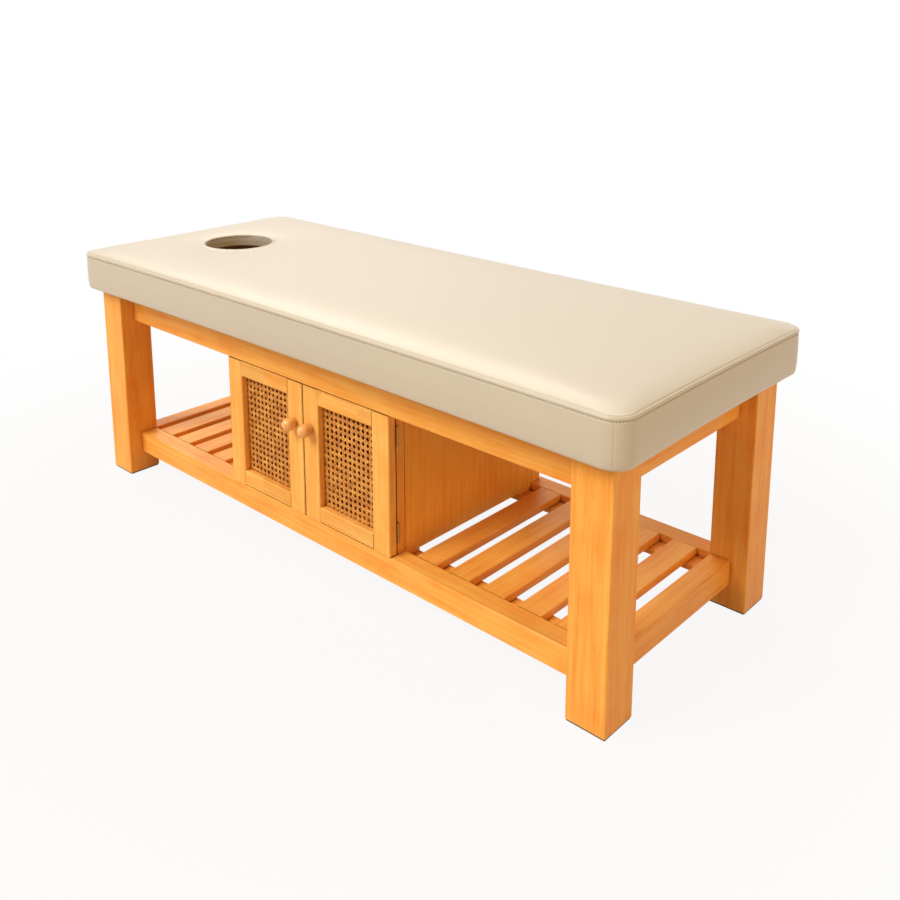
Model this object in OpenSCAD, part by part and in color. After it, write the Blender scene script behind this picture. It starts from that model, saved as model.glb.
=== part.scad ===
// Spa bed: upholstered pad with a face hole, on a timber frame with a two-door cane cabinet
// and a slatted shelf bay on each side of it.
// X runs from the head end (-X, with the face hole) to the foot end, the doors face -Y,
// and the origin is on the floor under the middle of the bed. Millimetres.

/* [Bed] */
// Length of the mattress, head end to foot end
bed_l = 1900; // [1700:10:2100]
// Width of the mattress
bed_w = 750; // [680:10:850]
// Height of the timber frame above the floor
frame_h = 576; // [520:2:680]
// How far the mattress overhangs the legs at each end
end_overhang = 40; // [20:1:70]
// How far the mattress overhangs the legs at front and back
side_overhang = 40; // [20:1:60]

/* [Mattress] */
// Height of the mattress's side band, from its underside to its top seam
band_h = 106; // [80:1:140]
// Rise of the mattress's crown above its top seam
crown = 12; // [4:1:24]
// Radius of the mattress's corners, seen from above
corner_r = 48; // [30:1:60]
// Radius of the mattress's rounded lower edge
lower_edge = 10; // [4:1:12]
// How far the long sides are drawn in between the corners
side_draw = 8; // [0:1:10]
// How far the end sides are drawn in between the corners
end_draw = 4; // [0:1:10]
// Radius of the face hole
face_hole_r = 100; // [80:1:110]
// Distance from the head end to the face hole's centre
face_hole_in = 270; // [240:5:300]
// Depth of the leather lining in the face hole, below the crown
lining_h = 36; // [24:1:50]

/* [Mattress board] */
// Thickness of the plywood board in the mattress's underside
board_t = 15; // [9:1:21]
// Distance from the mattress's edge in to the board's edge
board_inset = 24; // [22:1:36]
// Thickness of the wooden collar that stands on the board round the face hole
collar_t = 6; // [4:1:9]

/* [Legs] */
// Side of the square leg posts
leg_w = 96; // [90:1:110]
// Height of the glide pad under each leg
pad_h = 4; // [2:0.5:8]
// Distance from the leg's face in to the glide pad's edge
pad_inset = 1.5; // [1:0.5:10]

/* [Frame] */
// Distance from the legs' outer faces back to the aprons and rails
setback = 42; // [30:1:44]
// Height of the aprons
apron_h = 96; // [80:1:120]
// Thickness of the aprons
apron_t = 30; // [24:1:40]
// Height of the lower rails' top above the floor
rail_top = 124; // [100:1:160]
// Height of the lower rails
rail_h = 62; // [50:1:80]
// Thickness of the lower rails
rail_t = 52; // [44:1:54]
// Width of the cross bearers under the mattress board
bearer_w = 60; // [40:1:80]
// Height of the cross bearers
bearer_h = 25; // [18:1:40]
// Distance that a bearer is housed in the apron
bearer_housing = 8; // [4:1:14]
// Distance from the head end's legs to the first bearer's middle
head_bearer_in = 380; // [350:5:440]
// Distance from the foot end's legs to the last bearer's middle
foot_bearer_in = 350; // [200:5:440]
// Width of the eased long edges of the timber
ease = 2; // [0.5:0.5:4]

/* [Tenons] */
// Length of the rails' stub tenons
rail_tenon_l = 16; // [8:1:17]
// Thickness of the rails' stub tenons
rail_tenon_t = 20; // [12:1:22]
// Length of the aprons' tenons
apron_tenon_l = 28; // [10:1:30]
// Thickness of the aprons' tenons
apron_tenon_t = 12; // [8:1:14]
// Shoulder above and below every frame tenon
tenon_shoulder = 10; // [5:1:16]

/* [Slatted shelves] */
// Number of slats in the head end's bay
head_slats = 5; // [3:1:5]
// Number of slats in the foot end's bay
foot_slats = 5; // [3:1:5]
// Width of a slat
slat_w = 65; // [50:1:75]
// Thickness of a slat
slat_t = 20; // [14:1:28]
// Width of the ledgers that carry the slats
ledger_w = 50; // [30:1:70]
// Thickness of the ledgers
ledger_t = 16; // [10:1:22]

/* [Cabinet] */
// Outer width of the cabinet
cabinet_w = 616; // [560:2:660]
// Distance from the bed's middle to the cabinet's middle, towards the head end
cabinet_shift = 34; // [0:1:60]
// Width of the posts at the cabinet's corners
post_w = 30; // [24:1:40]
// Depth of the rear posts
rear_post_d = 40; // [30:1:48]
// Thickness of the floor board
floor_t = 12; // [9:1:16]
// Thickness of the side panels
side_panel_t = 15; // [12:1:21]
// Thickness of the back panel
back_panel_t = 6; // [3:1:9]
// Depth of the grooves that hold the back panel
groove_d = 8; // [4:1:12]
// Height of the stop rail behind the doors' top edges
stop_rail_h = 30; // [20:1:40]

/* [Doors] */
// Thickness of the doors
door_t = 24; // [20:1:28]
// Gap above and below the doors
door_gap = 2; // [1:0.5:3]
// Gap between the two doors
meeting_gap = 4; // [2:0.5:6]
// Width of the doors' stiles
stile_w = 57; // [50:1:65]
// Height of the doors' top and bottom rails
door_rail_h = 41; // [34:1:60]
// Distance from a door's front down to its cane panel
cane_recess = 17; // [12:0.5:18]
// Width of the rebate that the cane panel sits in
rebate_w = 8; // [6:1:12]
// Length of the door rails' tenons
door_tenon_l = 20; // [10:1:30]
// Thickness of the door rails' tenons
door_tenon_t = 8; // [5:1:9]
// Shoulder above and below the door rails' tenons
door_tenon_shoulder = 8; // [5:1:12]

/* [Cane] */
// Thickness of the woven cane
cane_t = 2; // [1.5:0.5:3]
// Distance from one hole of the weave to the next
cane_pitch = 16; // [14:0.5:20]
// Width of a hole of the weave across its flats
cane_hole = 9; // [6:0.5:11]

/* [Knobs] */
// Radius of a knob's ball
knob_r = 17.5; // [12:0.5:20]
// Distance from the door's front to the middle of the ball
knob_reach = 21.5; // [19:0.5:26]
// Radius of a knob's neck
knob_neck_r = 7; // [5:0.5:9]
// Height of the knobs above the doors' bottom edges
knob_height = 244; // [180:2:280]
// Radius of the knob screws
knob_screw_r = 2; // [1.5:0.25:2.5]
// Depth of a screw in its knob
knob_screw_depth = 14; // [8:1:18]

/* [Hinges] */
// Height of a butt hinge
hinge_h = 50; // [36:1:70]
// Distance from a door's top or bottom edge to the hinge
hinge_inset = 30; // [15:1:60]
// Width of a hinge leaf on the wood
leaf_w = 20; // [14:1:24]
// Thickness of a hinge leaf
leaf_t = 1.5; // [0.8:0.1:1.6]
// Radius of a hinge's knuckles
knuckle_r = 3.1; // [2.9:0.1:4]
// Radius of a hinge pin
hinge_pin_r = 1.4; // [1:0.1:1.6]

/* [Catches] */
// Width of a magnetic catch
catch_w = 40; // [30:1:46]
// Height of a magnetic catch
catch_h = 13; // [8:1:18]
// Depth of a magnetic catch
catch_d = 14; // [8:1:20]
// Thickness of a strike plate
strike_t = 1; // [0.5:0.1:1.5]

/* [Hidden] */

$fn = 64;
overrun = 1;          // how far every cut runs past the face that it opens
joint_gap = 0.2;      // clearance round a tenon, a housing or a panel in its groove
seat_gap = 0.3;       // clearance under and round the soft pad
slat_end_gap = 0.5;   // gap at each end of a slat
leaf_gap = 0.2;       // gap between the two leaves of a shut hinge
knuckle_gap = 0.3;    // gap between neighbouring knuckles
running_gap = 0.06;   // radial clearance of a turning knuckle on its pin
fixed_gap = 0.02;     // radial clearance of a fixed knuckle on its pin
magnet_gap = 0.1;     // gap between a catch and its strike plate
screw_head_share = 2; // a screw head's radius, as a share of the shank's

timber = "#E39A4B";
plywood = "#D08742";
cane_colour = "#D9A05A";
leather = "#E9DDC4";
steel = "#B8B4AA";
brass = "#A98545";
plastic = "#2A211B";

// Frame
frame_l = bed_l - 2 * end_overhang;
frame_w = bed_w - 2 * side_overhang;
leg_in_x = frame_l / 2 - leg_w;
leg_in_y = frame_w / 2 - leg_w;
face_x = frame_l / 2 - setback;
face_y = frame_w / 2 - setback;
rail_in_x = face_x - rail_t;
rail_in_y = face_y - rail_t;
rail_z = rail_top - rail_h;
apron_z = frame_h - apron_h;
slat_z = rail_top - slat_t;
floor_z = rail_top - floor_t;

// Cabinet and doors
cab_x0 = -cabinet_w / 2 - cabinet_shift;
cab_x1 = cabinet_w / 2 - cabinet_shift;
cab_mid = (cab_x0 + cab_x1) / 2;
front_y = -face_y;
door_back_y = front_y + door_t;
hinge_gap = 2 * leaf_t + leaf_gap;
post_front_y = door_back_y + hinge_gap;
post_d = -rail_in_y - post_front_y;
door_z0 = rail_top + door_gap;
door_z1 = apron_z - door_gap;
door_h = door_z1 - door_z0;
door_w = (cabinet_w - meeting_gap) / 2;
opening_w = door_w - 2 * stile_w;
opening_h = door_h - 2 * door_rail_h;
cane_y = front_y + cane_recess;
bead_t = door_back_y - cane_y - cane_t;
knob_z = door_z0 + knob_height;
hinge_x = door_w + knuckle_r + leaf_gap;
hinge_y = door_back_y + hinge_gap / 2;
hinge_zs = [door_z0 + hinge_inset, door_z1 - hinge_inset - hinge_h];
knuckle_h = hinge_h / 3;
stop_z = apron_z - stop_rail_h;
catch_x = stile_w / 2;
catch_y = door_back_y + strike_t + magnet_gap;

// Mattress
pad_z = frame_h + seat_gap;
seam_z = frame_h + band_h;
hole_x = -bed_l / 2 + face_hole_in;
collar_z = seam_z + crown - lining_h;

// A box between two corners.
module block(low, high) {
    translate(low) cube(high - low);
}

// A rectangle a by b with its four corners eased, extruded upwards.
module eased_prism(a, b, height) {
    linear_extrude(height)
        polygon([
            [-a / 2 + ease, -b / 2], [a / 2 - ease, -b / 2],
            [a / 2, -b / 2 + ease], [a / 2, b / 2 - ease],
            [a / 2 - ease, b / 2], [-a / 2 + ease, b / 2],
            [-a / 2, b / 2 - ease], [-a / 2, -b / 2 + ease]
        ]);
}

// Bars between two corners, with eased edges along X, Y or Z.
module bar_x(low, high) {
    size = high - low;
    translate([low.x, (low.y + high.y) / 2, (low.z + high.z) / 2])
        rotate([90, 0, 90]) eased_prism(size.y, size.z, size.x);
}

module bar_y(low, high) {
    size = high - low;
    translate([(low.x + high.x) / 2, low.y, (low.z + high.z) / 2])
        rotate([90, 0, 180]) eased_prism(size.x, size.z, size.y);
}

module bar_z(low, high) {
    size = high - low;
    translate([(low.x + high.x) / 2, (low.y + high.y) / 2, low.z])
        eased_prism(size.x, size.y, size.z);
}

// Puts a shape made for the foot end's back corner at another corner.
module corner(sx, sy) {
    mirror([sx < 0 ? 1 : 0, 0, 0]) mirror([0, sy < 0 ? 1 : 0, 0]) children();
}

// The tenon at the +X end of a member that runs along X, or the mortise for it when gap is above zero.
module tenon_x(middle_y, z0, z1, thickness, length, gap = 0) {
    block(
        [leg_in_x - (gap > 0 ? overrun : ease), middle_y - thickness / 2 - gap, z0 + tenon_shoulder - gap],
        [leg_in_x + length + gap, middle_y + thickness / 2 + gap, z1 - tenon_shoulder + gap]
    );
}

// The same at the +Y end of a member that runs along Y.
module tenon_y(middle_x, z0, z1, thickness, length, gap = 0) {
    block(
        [middle_x - thickness / 2 - gap, leg_in_y - (gap > 0 ? overrun : ease), z0 + tenon_shoulder - gap],
        [middle_x + thickness / 2 + gap, leg_in_y + length + gap, z1 - tenon_shoulder + gap]
    );
}

// Square leg post, mortised on its two inner faces for two rails and two aprons.
module leg(sx, sy) {
    color(timber) corner(sx, sy) difference() {
        bar_z([leg_in_x, leg_in_y, pad_h], [frame_l / 2, frame_w / 2, frame_h]);
        tenon_x(face_y - rail_t / 2, rail_z, rail_top, rail_tenon_t, rail_tenon_l, joint_gap);
        tenon_y(face_x - rail_t / 2, rail_z, rail_top, rail_tenon_t, rail_tenon_l, joint_gap);
        tenon_x(face_y - apron_t / 2, apron_z, frame_h, apron_tenon_t, apron_tenon_l, joint_gap);
        tenon_y(face_x - apron_t / 2, apron_z, frame_h, apron_tenon_t, apron_tenon_l, joint_gap);
    }
}

// Dark glide pads under the four legs.
module foot_pads() {
    color(plastic) for (sx = [-1, 1], sy = [-1, 1]) corner(sx, sy)
        bar_z(
            [leg_in_x + pad_inset, leg_in_y + pad_inset, 0],
            [frame_l / 2 - pad_inset, frame_w / 2 - pad_inset, pad_h]
        );
}

// A member between two legs along X, with a tenon at each end.
module long_member(sy, z0, z1, thickness, tenon_t, tenon_l) {
    mirror([0, sy < 0 ? 1 : 0, 0]) union() {
        bar_x([-leg_in_x, face_y - thickness, z0], [leg_in_x, face_y, z1]);
        for (sx = [0, 1]) mirror([sx, 0, 0]) tenon_x(face_y - thickness / 2, z0, z1, tenon_t, tenon_l);
    }
}

// A member between two legs along Y, with a tenon at each end.
module cross_member(sx, z0, z1, thickness, tenon_t, tenon_l) {
    mirror([sx < 0 ? 1 : 0, 0, 0]) union() {
        bar_y([face_x - thickness, -leg_in_y, z0], [face_x, leg_in_y, z1]);
        for (sy = [0, 1]) mirror([0, sy, 0]) tenon_y(face_x - thickness / 2, z0, z1, tenon_t, tenon_l);
    }
}

// The middles of the cross bearers: near each end, and over each cabinet side.
bearer_xs = [
    -frame_l / 2 + head_bearer_in,
    cab_x0 + side_panel_t / 2,
    cab_x1 - side_panel_t / 2,
    frame_l / 2 - foot_bearer_in
];

// A bearer, or the housing for one when gap is above zero.
module bearer(x, gap = 0) {
    reach = face_y - apron_t + bearer_housing + gap;
    block(
        [x - bearer_w / 2 - gap, -reach, frame_h - bearer_h - gap],
        [x + bearer_w / 2 + gap, reach, frame_h + (gap > 0 ? overrun : 0)]
    );
}

// Apron under the mattress's long side, housed for the ends of the bearers.
module long_apron(sy) {
    color(timber) difference() {
        long_member(sy, apron_z, frame_h, apron_t, apron_tenon_t, apron_tenon_l);
        for (x = bearer_xs) bearer(x, joint_gap);
    }
}

module end_apron(sx) {
    color(timber) cross_member(sx, apron_z, frame_h, apron_t, apron_tenon_t, apron_tenon_l);
}

module bearers() {
    color(timber) for (x = bearer_xs) bearer(x);
}

module long_rail(sy) {
    color(timber) long_member(sy, rail_z, rail_top, rail_t, rail_tenon_t, rail_tenon_l);
}

module end_rail(sx) {
    color(timber) cross_member(sx, rail_z, rail_top, rail_t, rail_tenon_t, rail_tenon_l);
}

// Flat batten inside the front or back rail, which carries the slats. It is packed up between
// the side panels to carry the thinner cabinet floor.
module ledger(sy) {
    color(timber) mirror([0, sy < 0 ? 1 : 0, 0]) union() {
        bar_x([-leg_in_x, rail_in_y - ledger_w, slat_z - ledger_t], [leg_in_x, rail_in_y, slat_z]);
        block([cab_x0, rail_in_y - ledger_w + ease, slat_z - ease], [cab_x1, rail_in_y - ease, floor_z]);
    }
}

// Slat number i of a bay between x0 and x1, evenly spaced with a gap at each end of the bay.
module slat(x0, x1, count, i) {
    space = (x1 - x0 - count * slat_w) / (count + 1);
    x = x0 + space + (i - 1) * (slat_w + space);
    reach = rail_in_y - slat_end_gap;
    if (i <= count)
        color(timber) bar_y([x, -reach, slat_z], [x + slat_w, reach, rail_top]);
}

module head_slat(i) {
    slat(-rail_in_x, cab_x0, head_slats, i);
}

module foot_slat(i) {
    slat(cab_x1, rail_in_x, foot_slats, i);
}

// Floor board of the cabinet, its top level with the slats.
module cabinet_floor() {
    color(plywood) block([cab_x0, -rail_in_y, floor_z], [cab_x1, rail_in_y, rail_top]);
}

// Puts a shape made at the cabinet's right side, in coordinates from its middle, at either side.
module side(s) {
    translate([cab_mid, 0, 0]) mirror([s < 0 ? 1 : 0, 0, 0]) children();
}

// Plywood side panel between the posts, from the floor board up to its bearer.
module side_panel(s) {
    color(plywood) side(s)
        block(
            [cabinet_w / 2 - side_panel_t, -rail_in_y, rail_top],
            [cabinet_w / 2, rail_in_y, frame_h - bearer_h]
        );
}

// Post behind the door's hinge edge, between the front rail and the front apron.
module front_post(s) {
    color(timber) side(s)
        bar_z([cabinet_w / 2 - post_w, post_front_y, rail_top], [cabinet_w / 2, -rail_in_y, apron_z]);
}

// Rear post on the back rail, grooved for the back panel.
module rear_post(s) {
    color(timber) side(s) difference() {
        bar_z(
            [cabinet_w / 2 - post_w, rail_in_y, rail_top],
            [cabinet_w / 2, rail_in_y + rear_post_d, apron_z]
        );
        block(
            [
                cabinet_w / 2 - post_w - overrun,
                rail_in_y + (rear_post_d - back_panel_t) / 2 - joint_gap,
                rail_top - overrun
            ],
            [
                cabinet_w / 2 - post_w + groove_d + joint_gap,
                rail_in_y + (rear_post_d + back_panel_t) / 2 + joint_gap,
                apron_z + overrun
            ]
        );
    }
}

// Thin plywood back, held in the grooves of the rear posts.
module back_panel() {
    reach = cabinet_w / 2 - post_w + groove_d;
    color(plywood) block(
        [cab_mid - reach, rail_in_y + (rear_post_d - back_panel_t) / 2, rail_top],
        [cab_mid + reach, rail_in_y + (rear_post_d + back_panel_t) / 2, apron_z]
    );
}

// Rail behind the doors' top edges, which stops them and carries the catches.
module door_stop_rail() {
    reach = cabinet_w / 2 - post_w;
    color(timber) bar_x([cab_mid - reach, post_front_y, stop_z], [cab_mid + reach, -rail_in_y, apron_z]);
}

// Magnetic catches under the stop rail, one behind each door's lock stile.
module magnetic_catches() {
    color(plastic) for (s = [-1, 1]) side(s)
        block(
            [meeting_gap / 2 + catch_x - catch_w / 2, catch_y, stop_z - catch_h],
            [meeting_gap / 2 + catch_x + catch_w / 2, catch_y + catch_d, stop_z]
        );
}

// A door's own coordinates start at its lock edge: x runs towards its hinge edge.
module door(s) {
    side(s) translate([meeting_gap / 2, 0, 0]) children();
}

// Full-height stile between x0 and x0 + stile_w. The opening is on the side that inner points to:
// that edge has the rebate for the cane panel and the mortises for the door rails.
module stile(x0, inner) {
    edge = inner < 0 ? x0 : x0 + stile_w;
    difference() {
        bar_z([x0, front_y, door_z0], [x0 + stile_w, door_back_y, door_z1]);
        block(
            [edge - (inner < 0 ? overrun : rebate_w), cane_y, door_z0 + door_rail_h - rebate_w],
            [edge + (inner < 0 ? rebate_w : overrun), door_back_y + overrun, door_z1 - door_rail_h + rebate_w]
        );
        for (z0 = [door_z0, door_z1 - door_rail_h])
            door_tenon(edge - (inner < 0 ? overrun : door_tenon_l), edge + (inner < 0 ? door_tenon_l : overrun),
                z0, joint_gap);
    }
}

// Tenon of a door rail between x0 and x1, or its mortise when gap is above zero.
module door_tenon(x0, x1, z0, gap = 0) {
    y0 = front_y + (cane_recess - door_tenon_t) / 2;
    block(
        [x0 - gap, y0 - gap, z0 + door_tenon_shoulder - gap],
        [x1 + gap, y0 + door_tenon_t + gap, z0 + door_rail_h - door_tenon_shoulder + gap]
    );
}

module hinge_stile(s) {
    color(timber) door(s) stile(door_w - stile_w, -1);
}

// The lock stile is drilled for the knob's screw.
module lock_stile(s) {
    color(timber) door(s) difference() {
        stile(0, 1);
        translate([stile_w / 2, front_y - overrun, knob_z]) rotate([-90, 0, 0])
            cylinder(r = knob_screw_r + joint_gap, h = door_t + 2 * overrun);
    }
}

// Door rail between the stiles. up is 1 for the bottom rail, whose rebate is on its upper edge.
module door_rail(z0, up) {
    edge = up > 0 ? z0 + door_rail_h : z0;
    difference() {
        union() {
            bar_x([stile_w, front_y, z0], [door_w - stile_w, door_back_y, z0 + door_rail_h]);
            door_tenon(stile_w - door_tenon_l, door_w - stile_w + door_tenon_l, z0);
        }
        block(
            [stile_w - overrun, cane_y, edge - (up > 0 ? rebate_w : overrun)],
            [door_w - stile_w + overrun, door_back_y + overrun, edge + (up > 0 ? overrun : rebate_w)]
        );
    }
}

module top_rail(s) {
    color(timber) door(s) door_rail(door_z1 - door_rail_h, -1);
}

module bottom_rail(s) {
    color(timber) door(s) door_rail(door_z0, 1);
}

// Open cane weave: a sheet with rows of eight-sided holes, whose margin lies in the door's rebate.
module cane_panel(s) {
    margin = rebate_w - joint_gap;
    columns = floor(opening_w / cane_pitch);
    rows = floor((opening_h + cane_pitch - cane_hole) / cane_pitch);
    middle = [door_w / 2, (door_z0 + door_z1) / 2];
    color(cane_colour) door(s) translate([0, cane_y + cane_t, 0]) rotate([90, 0, 0])
        linear_extrude(cane_t) difference() {
            translate(middle) square([opening_w + 2 * margin, opening_h + 2 * margin], center = true);
            for (i = [0 : columns - 1], j = [0 : rows - 1])
                translate(middle + cane_pitch * [i - (columns - 1) / 2, j - (rows - 1) / 2])
                    rotate(180 / 8) circle(d = cane_hole / cos(180 / 8), $fn = 8);
        }
}

// Four beads that hold the cane panel in the rebate, flush with the door's back.
module cane_beads(s) {
    x0 = stile_w - rebate_w + joint_gap;
    x1 = door_w - stile_w + rebate_w - joint_gap;
    z0 = door_z0 + door_rail_h - rebate_w + joint_gap;
    z1 = door_z1 - door_rail_h + rebate_w - joint_gap;
    bead_w = rebate_w - joint_gap;
    color(timber) door(s) for (step = [0, 1]) {
        block([x0 + step * (x1 - x0 - bead_w), cane_y + cane_t, z0],
            [x0 + bead_w + step * (x1 - x0 - bead_w), door_back_y, z1]);
        block([x0 + bead_w + joint_gap, cane_y + cane_t, z0 + step * (z1 - z0 - bead_w)],
            [x1 - bead_w - joint_gap, door_back_y, z0 + bead_w + step * (z1 - z0 - bead_w)]);
    }
}

// Turned ball knob with a short neck, bored for its screw.
module knob(s) {
    color(timber) door(s) translate([stile_w / 2, front_y, knob_z]) rotate([90, 0, 0]) difference() {
        union() {
            translate([0, 0, knob_reach]) sphere(r = knob_r);
            cylinder(r = knob_neck_r, h = knob_reach);
        }
        translate([0, 0, -overrun]) cylinder(r = knob_screw_r, h = knob_screw_depth + overrun);
    }
}

// Screw from inside the door into the knob.
module knob_screw(s) {
    head_r = knob_screw_r * screw_head_share;
    color(steel) door(s) translate([stile_w / 2, door_back_y, knob_z]) rotate([90, 0, 0]) union() {
        cylinder(r = knob_screw_r, h = door_t + knob_screw_depth);
        translate([0, 0, -knob_screw_r]) cylinder(r = head_r, h = knob_screw_r);
    }
}

module strike_plate(s) {
    color(steel) door(s)
        block(
            [catch_x - catch_w / 2 + strike_t, door_back_y, stop_z - catch_h + strike_t],
            [catch_x + catch_w / 2 - strike_t, door_back_y + strike_t, stop_z - strike_t]
        );
}

// Barrel of a knuckle from z0 to z1 above the hinge's foot, joined to its leaf by a tab on one side
// of the hinge line: side_y is -1 on the door's side and 1 on the post's.
module knuckle(z0, z1, side_y, gap) {
    translate([hinge_x, hinge_y, 0]) difference() {
        union() {
            translate([0, 0, z0]) cylinder(r = knuckle_r, h = z1 - z0);
            block(
                [-knuckle_r - leaf_gap - leaf_w / 2, side_y < 0 ? -hinge_gap / 2 : leaf_gap / 2, z0],
                [0, side_y < 0 ? -leaf_gap / 2 : hinge_gap / 2, z1]
            );
        }
        translate([0, 0, z0 - overrun]) cylinder(r = hinge_pin_r + gap, h = z1 - z0 + 2 * overrun);
    }
}

// Flat of a leaf, on the door's back or the post's front.
module leaf_flat(side_y) {
    y0 = side_y < 0 ? door_back_y : post_front_y - leaf_t;
    block([door_w - leaf_w, y0, 0], [door_w, y0 + leaf_t, hinge_h]);
}

// Leaves on the door, each with the middle knuckle.
module hinge_leaves(s) {
    color(brass) door(s) for (z = hinge_zs) translate([0, 0, z]) union() {
        leaf_flat(-1);
        knuckle(knuckle_h + knuckle_gap, hinge_h - knuckle_h - knuckle_gap, -1, running_gap);
    }
}

// Leaves on the posts, each with the lower and upper knuckle.
module hinge_post_leaves() {
    color(brass) for (s = [-1, 1]) door(s) for (z = hinge_zs) translate([0, 0, z]) union() {
        leaf_flat(1);
        knuckle(0, knuckle_h, 1, fixed_gap);
        knuckle(hinge_h - knuckle_h, hinge_h, 1, fixed_gap);
    }
}

module hinge_pins() {
    color(brass) for (s = [-1, 1]) door(s) for (z = hinge_zs)
        translate([hinge_x, hinge_y, z]) cylinder(r = hinge_pin_r, h = hinge_h);
}

// Outline of the board: the mattress's outline, moved in.
module board_outline(inset) {
    r = corner_r - board_inset / 2;
    offset(r = r) square([bed_l - 2 * (inset + r), bed_w - 2 * (inset + r)], center = true);
}

// Plywood board in the mattress's underside, with a collar glued on that lines the lower part of
// the face hole and keeps the foam back from it.
module mattress_board() {
    color(plywood) translate([0, 0, frame_h]) difference() {
        union() {
            linear_extrude(board_t) board_outline(board_inset);
            translate([hole_x, 0, 0]) cylinder(r = face_hole_r + collar_t, h = collar_z - frame_h);
        }
        translate([hole_x, 0, -overrun]) cylinder(r = face_hole_r, h = collar_z - frame_h + 2 * overrun);
    }
}

// One ring of the pad's skin at a height: a rounded rectangle moved in from the mattress's outline,
// with its sides drawn in between the corners.
corner_steps = 6;
long_steps = 8;
end_steps = 4;
function ring(inset, z) =
    let (a = bed_l / 2 - inset - corner_r, b = bed_w / 2 - inset - corner_r)
    [for (q = [0 : 3])
        let (sx = q == 0 || q == 3 ? 1 : -1, sy = q < 2 ? 1 : -1, steps = q % 2 == 0 ? long_steps : end_steps)
        each concat(
            [for (i = [0 : corner_steps]) let (t = 90 * (q + i / corner_steps))
                [sx * a + corner_r * cos(t), sy * b + corner_r * sin(t), z]],
            [for (i = [1 : steps - 1]) let (u = 1 - 2 * i / steps)
                q == 0 ? [a * u, b + corner_r - side_draw * (1 - u * u), z] :
                q == 1 ? [-a - corner_r + end_draw * (1 - u * u), b * u, z] :
                q == 2 ? [-a * u, -b - corner_r + side_draw * (1 - u * u), z] :
                [a + corner_r - end_draw * (1 - u * u), -b * u, z]]
        )
    ];

// The skin's profile: inset from the outline, and height above the underside as a share of the band
// or above the seam as a share of the crown.
lower_shares = [[1, 0], [0.3, 0.3], [0, 1]];
crown_shares = [[0.03, 0.1], [0.08, 0.42], [0.2, 0.7], [0.42, 0.9], [0.72, 1]];
function pad_rings() = concat(
    [for (p = lower_shares) ring(lower_edge * p[0], pad_z + lower_edge * p[1])],
    [ring(0, pad_z + band_h / 2), ring(0, seam_z)],
    [for (p = crown_shares) ring(bed_w / 2 * p[0], seam_z + crown * p[1])]
);

module skin(rings) {
    n = len(rings[0]);
    m = len(rings);
    polyhedron(
        points = [for (r = rings) each r],
        faces = concat(
            [[for (i = [0 : n - 1]) i]],
            [for (k = [0 : m - 2], i = [0 : n - 1]) each [
                [k * n + i, (k + 1) * n + i, k * n + (i + 1) % n],
                [k * n + (i + 1) % n, (k + 1) * n + i, (k + 1) * n + (i + 1) % n]
            ]],
            [[for (i = [n - 1 : -1 : 0]) (m - 1) * n + i]]
        )
    );
}

// Leather-covered pad: crowned, drawn in along its sides, open at the face hole,
// and hollowed underneath for its board and collar.
module mattress() {
    color(leather) difference() {
        skin(pad_rings());
        translate([hole_x, 0, frame_h - overrun]) cylinder(r = face_hole_r, h = band_h + crown + 2 * overrun);
        translate([hole_x, 0, frame_h - overrun])
            cylinder(r = face_hole_r + collar_t + seat_gap, h = collar_z + seat_gap - frame_h + overrun);
        translate([0, 0, frame_h - overrun]) linear_extrude(board_t + seat_gap + overrun)
            board_outline(board_inset - seat_gap);
    }
}

leg(-1, -1);  // leg_front_head
leg(1, -1);  // leg_front_foot
leg(-1, 1);  // leg_back_head
leg(1, 1);  // leg_back_foot
foot_pads();
long_apron(-1);  // apron_front
long_apron(1);  // apron_back
end_apron(-1);  // apron_head
end_apron(1);  // apron_foot
bearers();
long_rail(-1);  // rail_front
long_rail(1);  // rail_back
end_rail(-1);  // rail_head
end_rail(1);  // rail_foot
ledger(-1);  // ledger_front
ledger(1);  // ledger_back
head_slat(1);  // slat_head_1
head_slat(2);  // slat_head_2
head_slat(3);  // slat_head_3
head_slat(4);  // slat_head_4
head_slat(5);  // slat_head_5
foot_slat(1);  // slat_foot_1
foot_slat(2);  // slat_foot_2
foot_slat(3);  // slat_foot_3
foot_slat(4);  // slat_foot_4
foot_slat(5);  // slat_foot_5
cabinet_floor();
side_panel(-1);  // side_panel_left
side_panel(1);  // side_panel_right
front_post(-1);  // front_post_left
front_post(1);  // front_post_right
rear_post(-1);  // rear_post_left
rear_post(1);  // rear_post_right
back_panel();
door_stop_rail();
magnetic_catches();
hinge_post_leaves();
hinge_pins();
hinge_stile(-1);  // left_hinge_stile
lock_stile(-1);  // left_lock_stile
top_rail(-1);  // left_top_rail
bottom_rail(-1);  // left_bottom_rail
cane_panel(-1);  // left_cane_panel
cane_beads(-1);  // left_cane_beads
knob(-1);  // left_knob
knob_screw(-1);  // left_knob_screw
strike_plate(-1);  // left_strike_plate
hinge_leaves(-1);  // left_hinge_leaves
hinge_stile(1);  // right_hinge_stile
lock_stile(1);  // right_lock_stile
top_rail(1);  // right_top_rail
bottom_rail(1);  // right_bottom_rail
cane_panel(1);  // right_cane_panel
cane_beads(1);  // right_cane_beads
knob(1);  // right_knob
knob_screw(1);  // right_knob_screw
strike_plate(1);  // right_strike_plate
hinge_leaves(1);  // right_hinge_leaves
mattress_board();
mattress();
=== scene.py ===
"""Spa bed with a cabinet base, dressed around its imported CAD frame.

A timber frame with slatted shelves and a cabinet with two cane doors carries an upholstered pad
with a face hole. Metres, +X towards the foot end, the doors face -Y, +Z up.
"""

import math
import random

import bmesh
import bpy
import numpy as np
from mathutils import Matrix, Vector, noise
from mathutils.kdtree import KDTree


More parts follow.
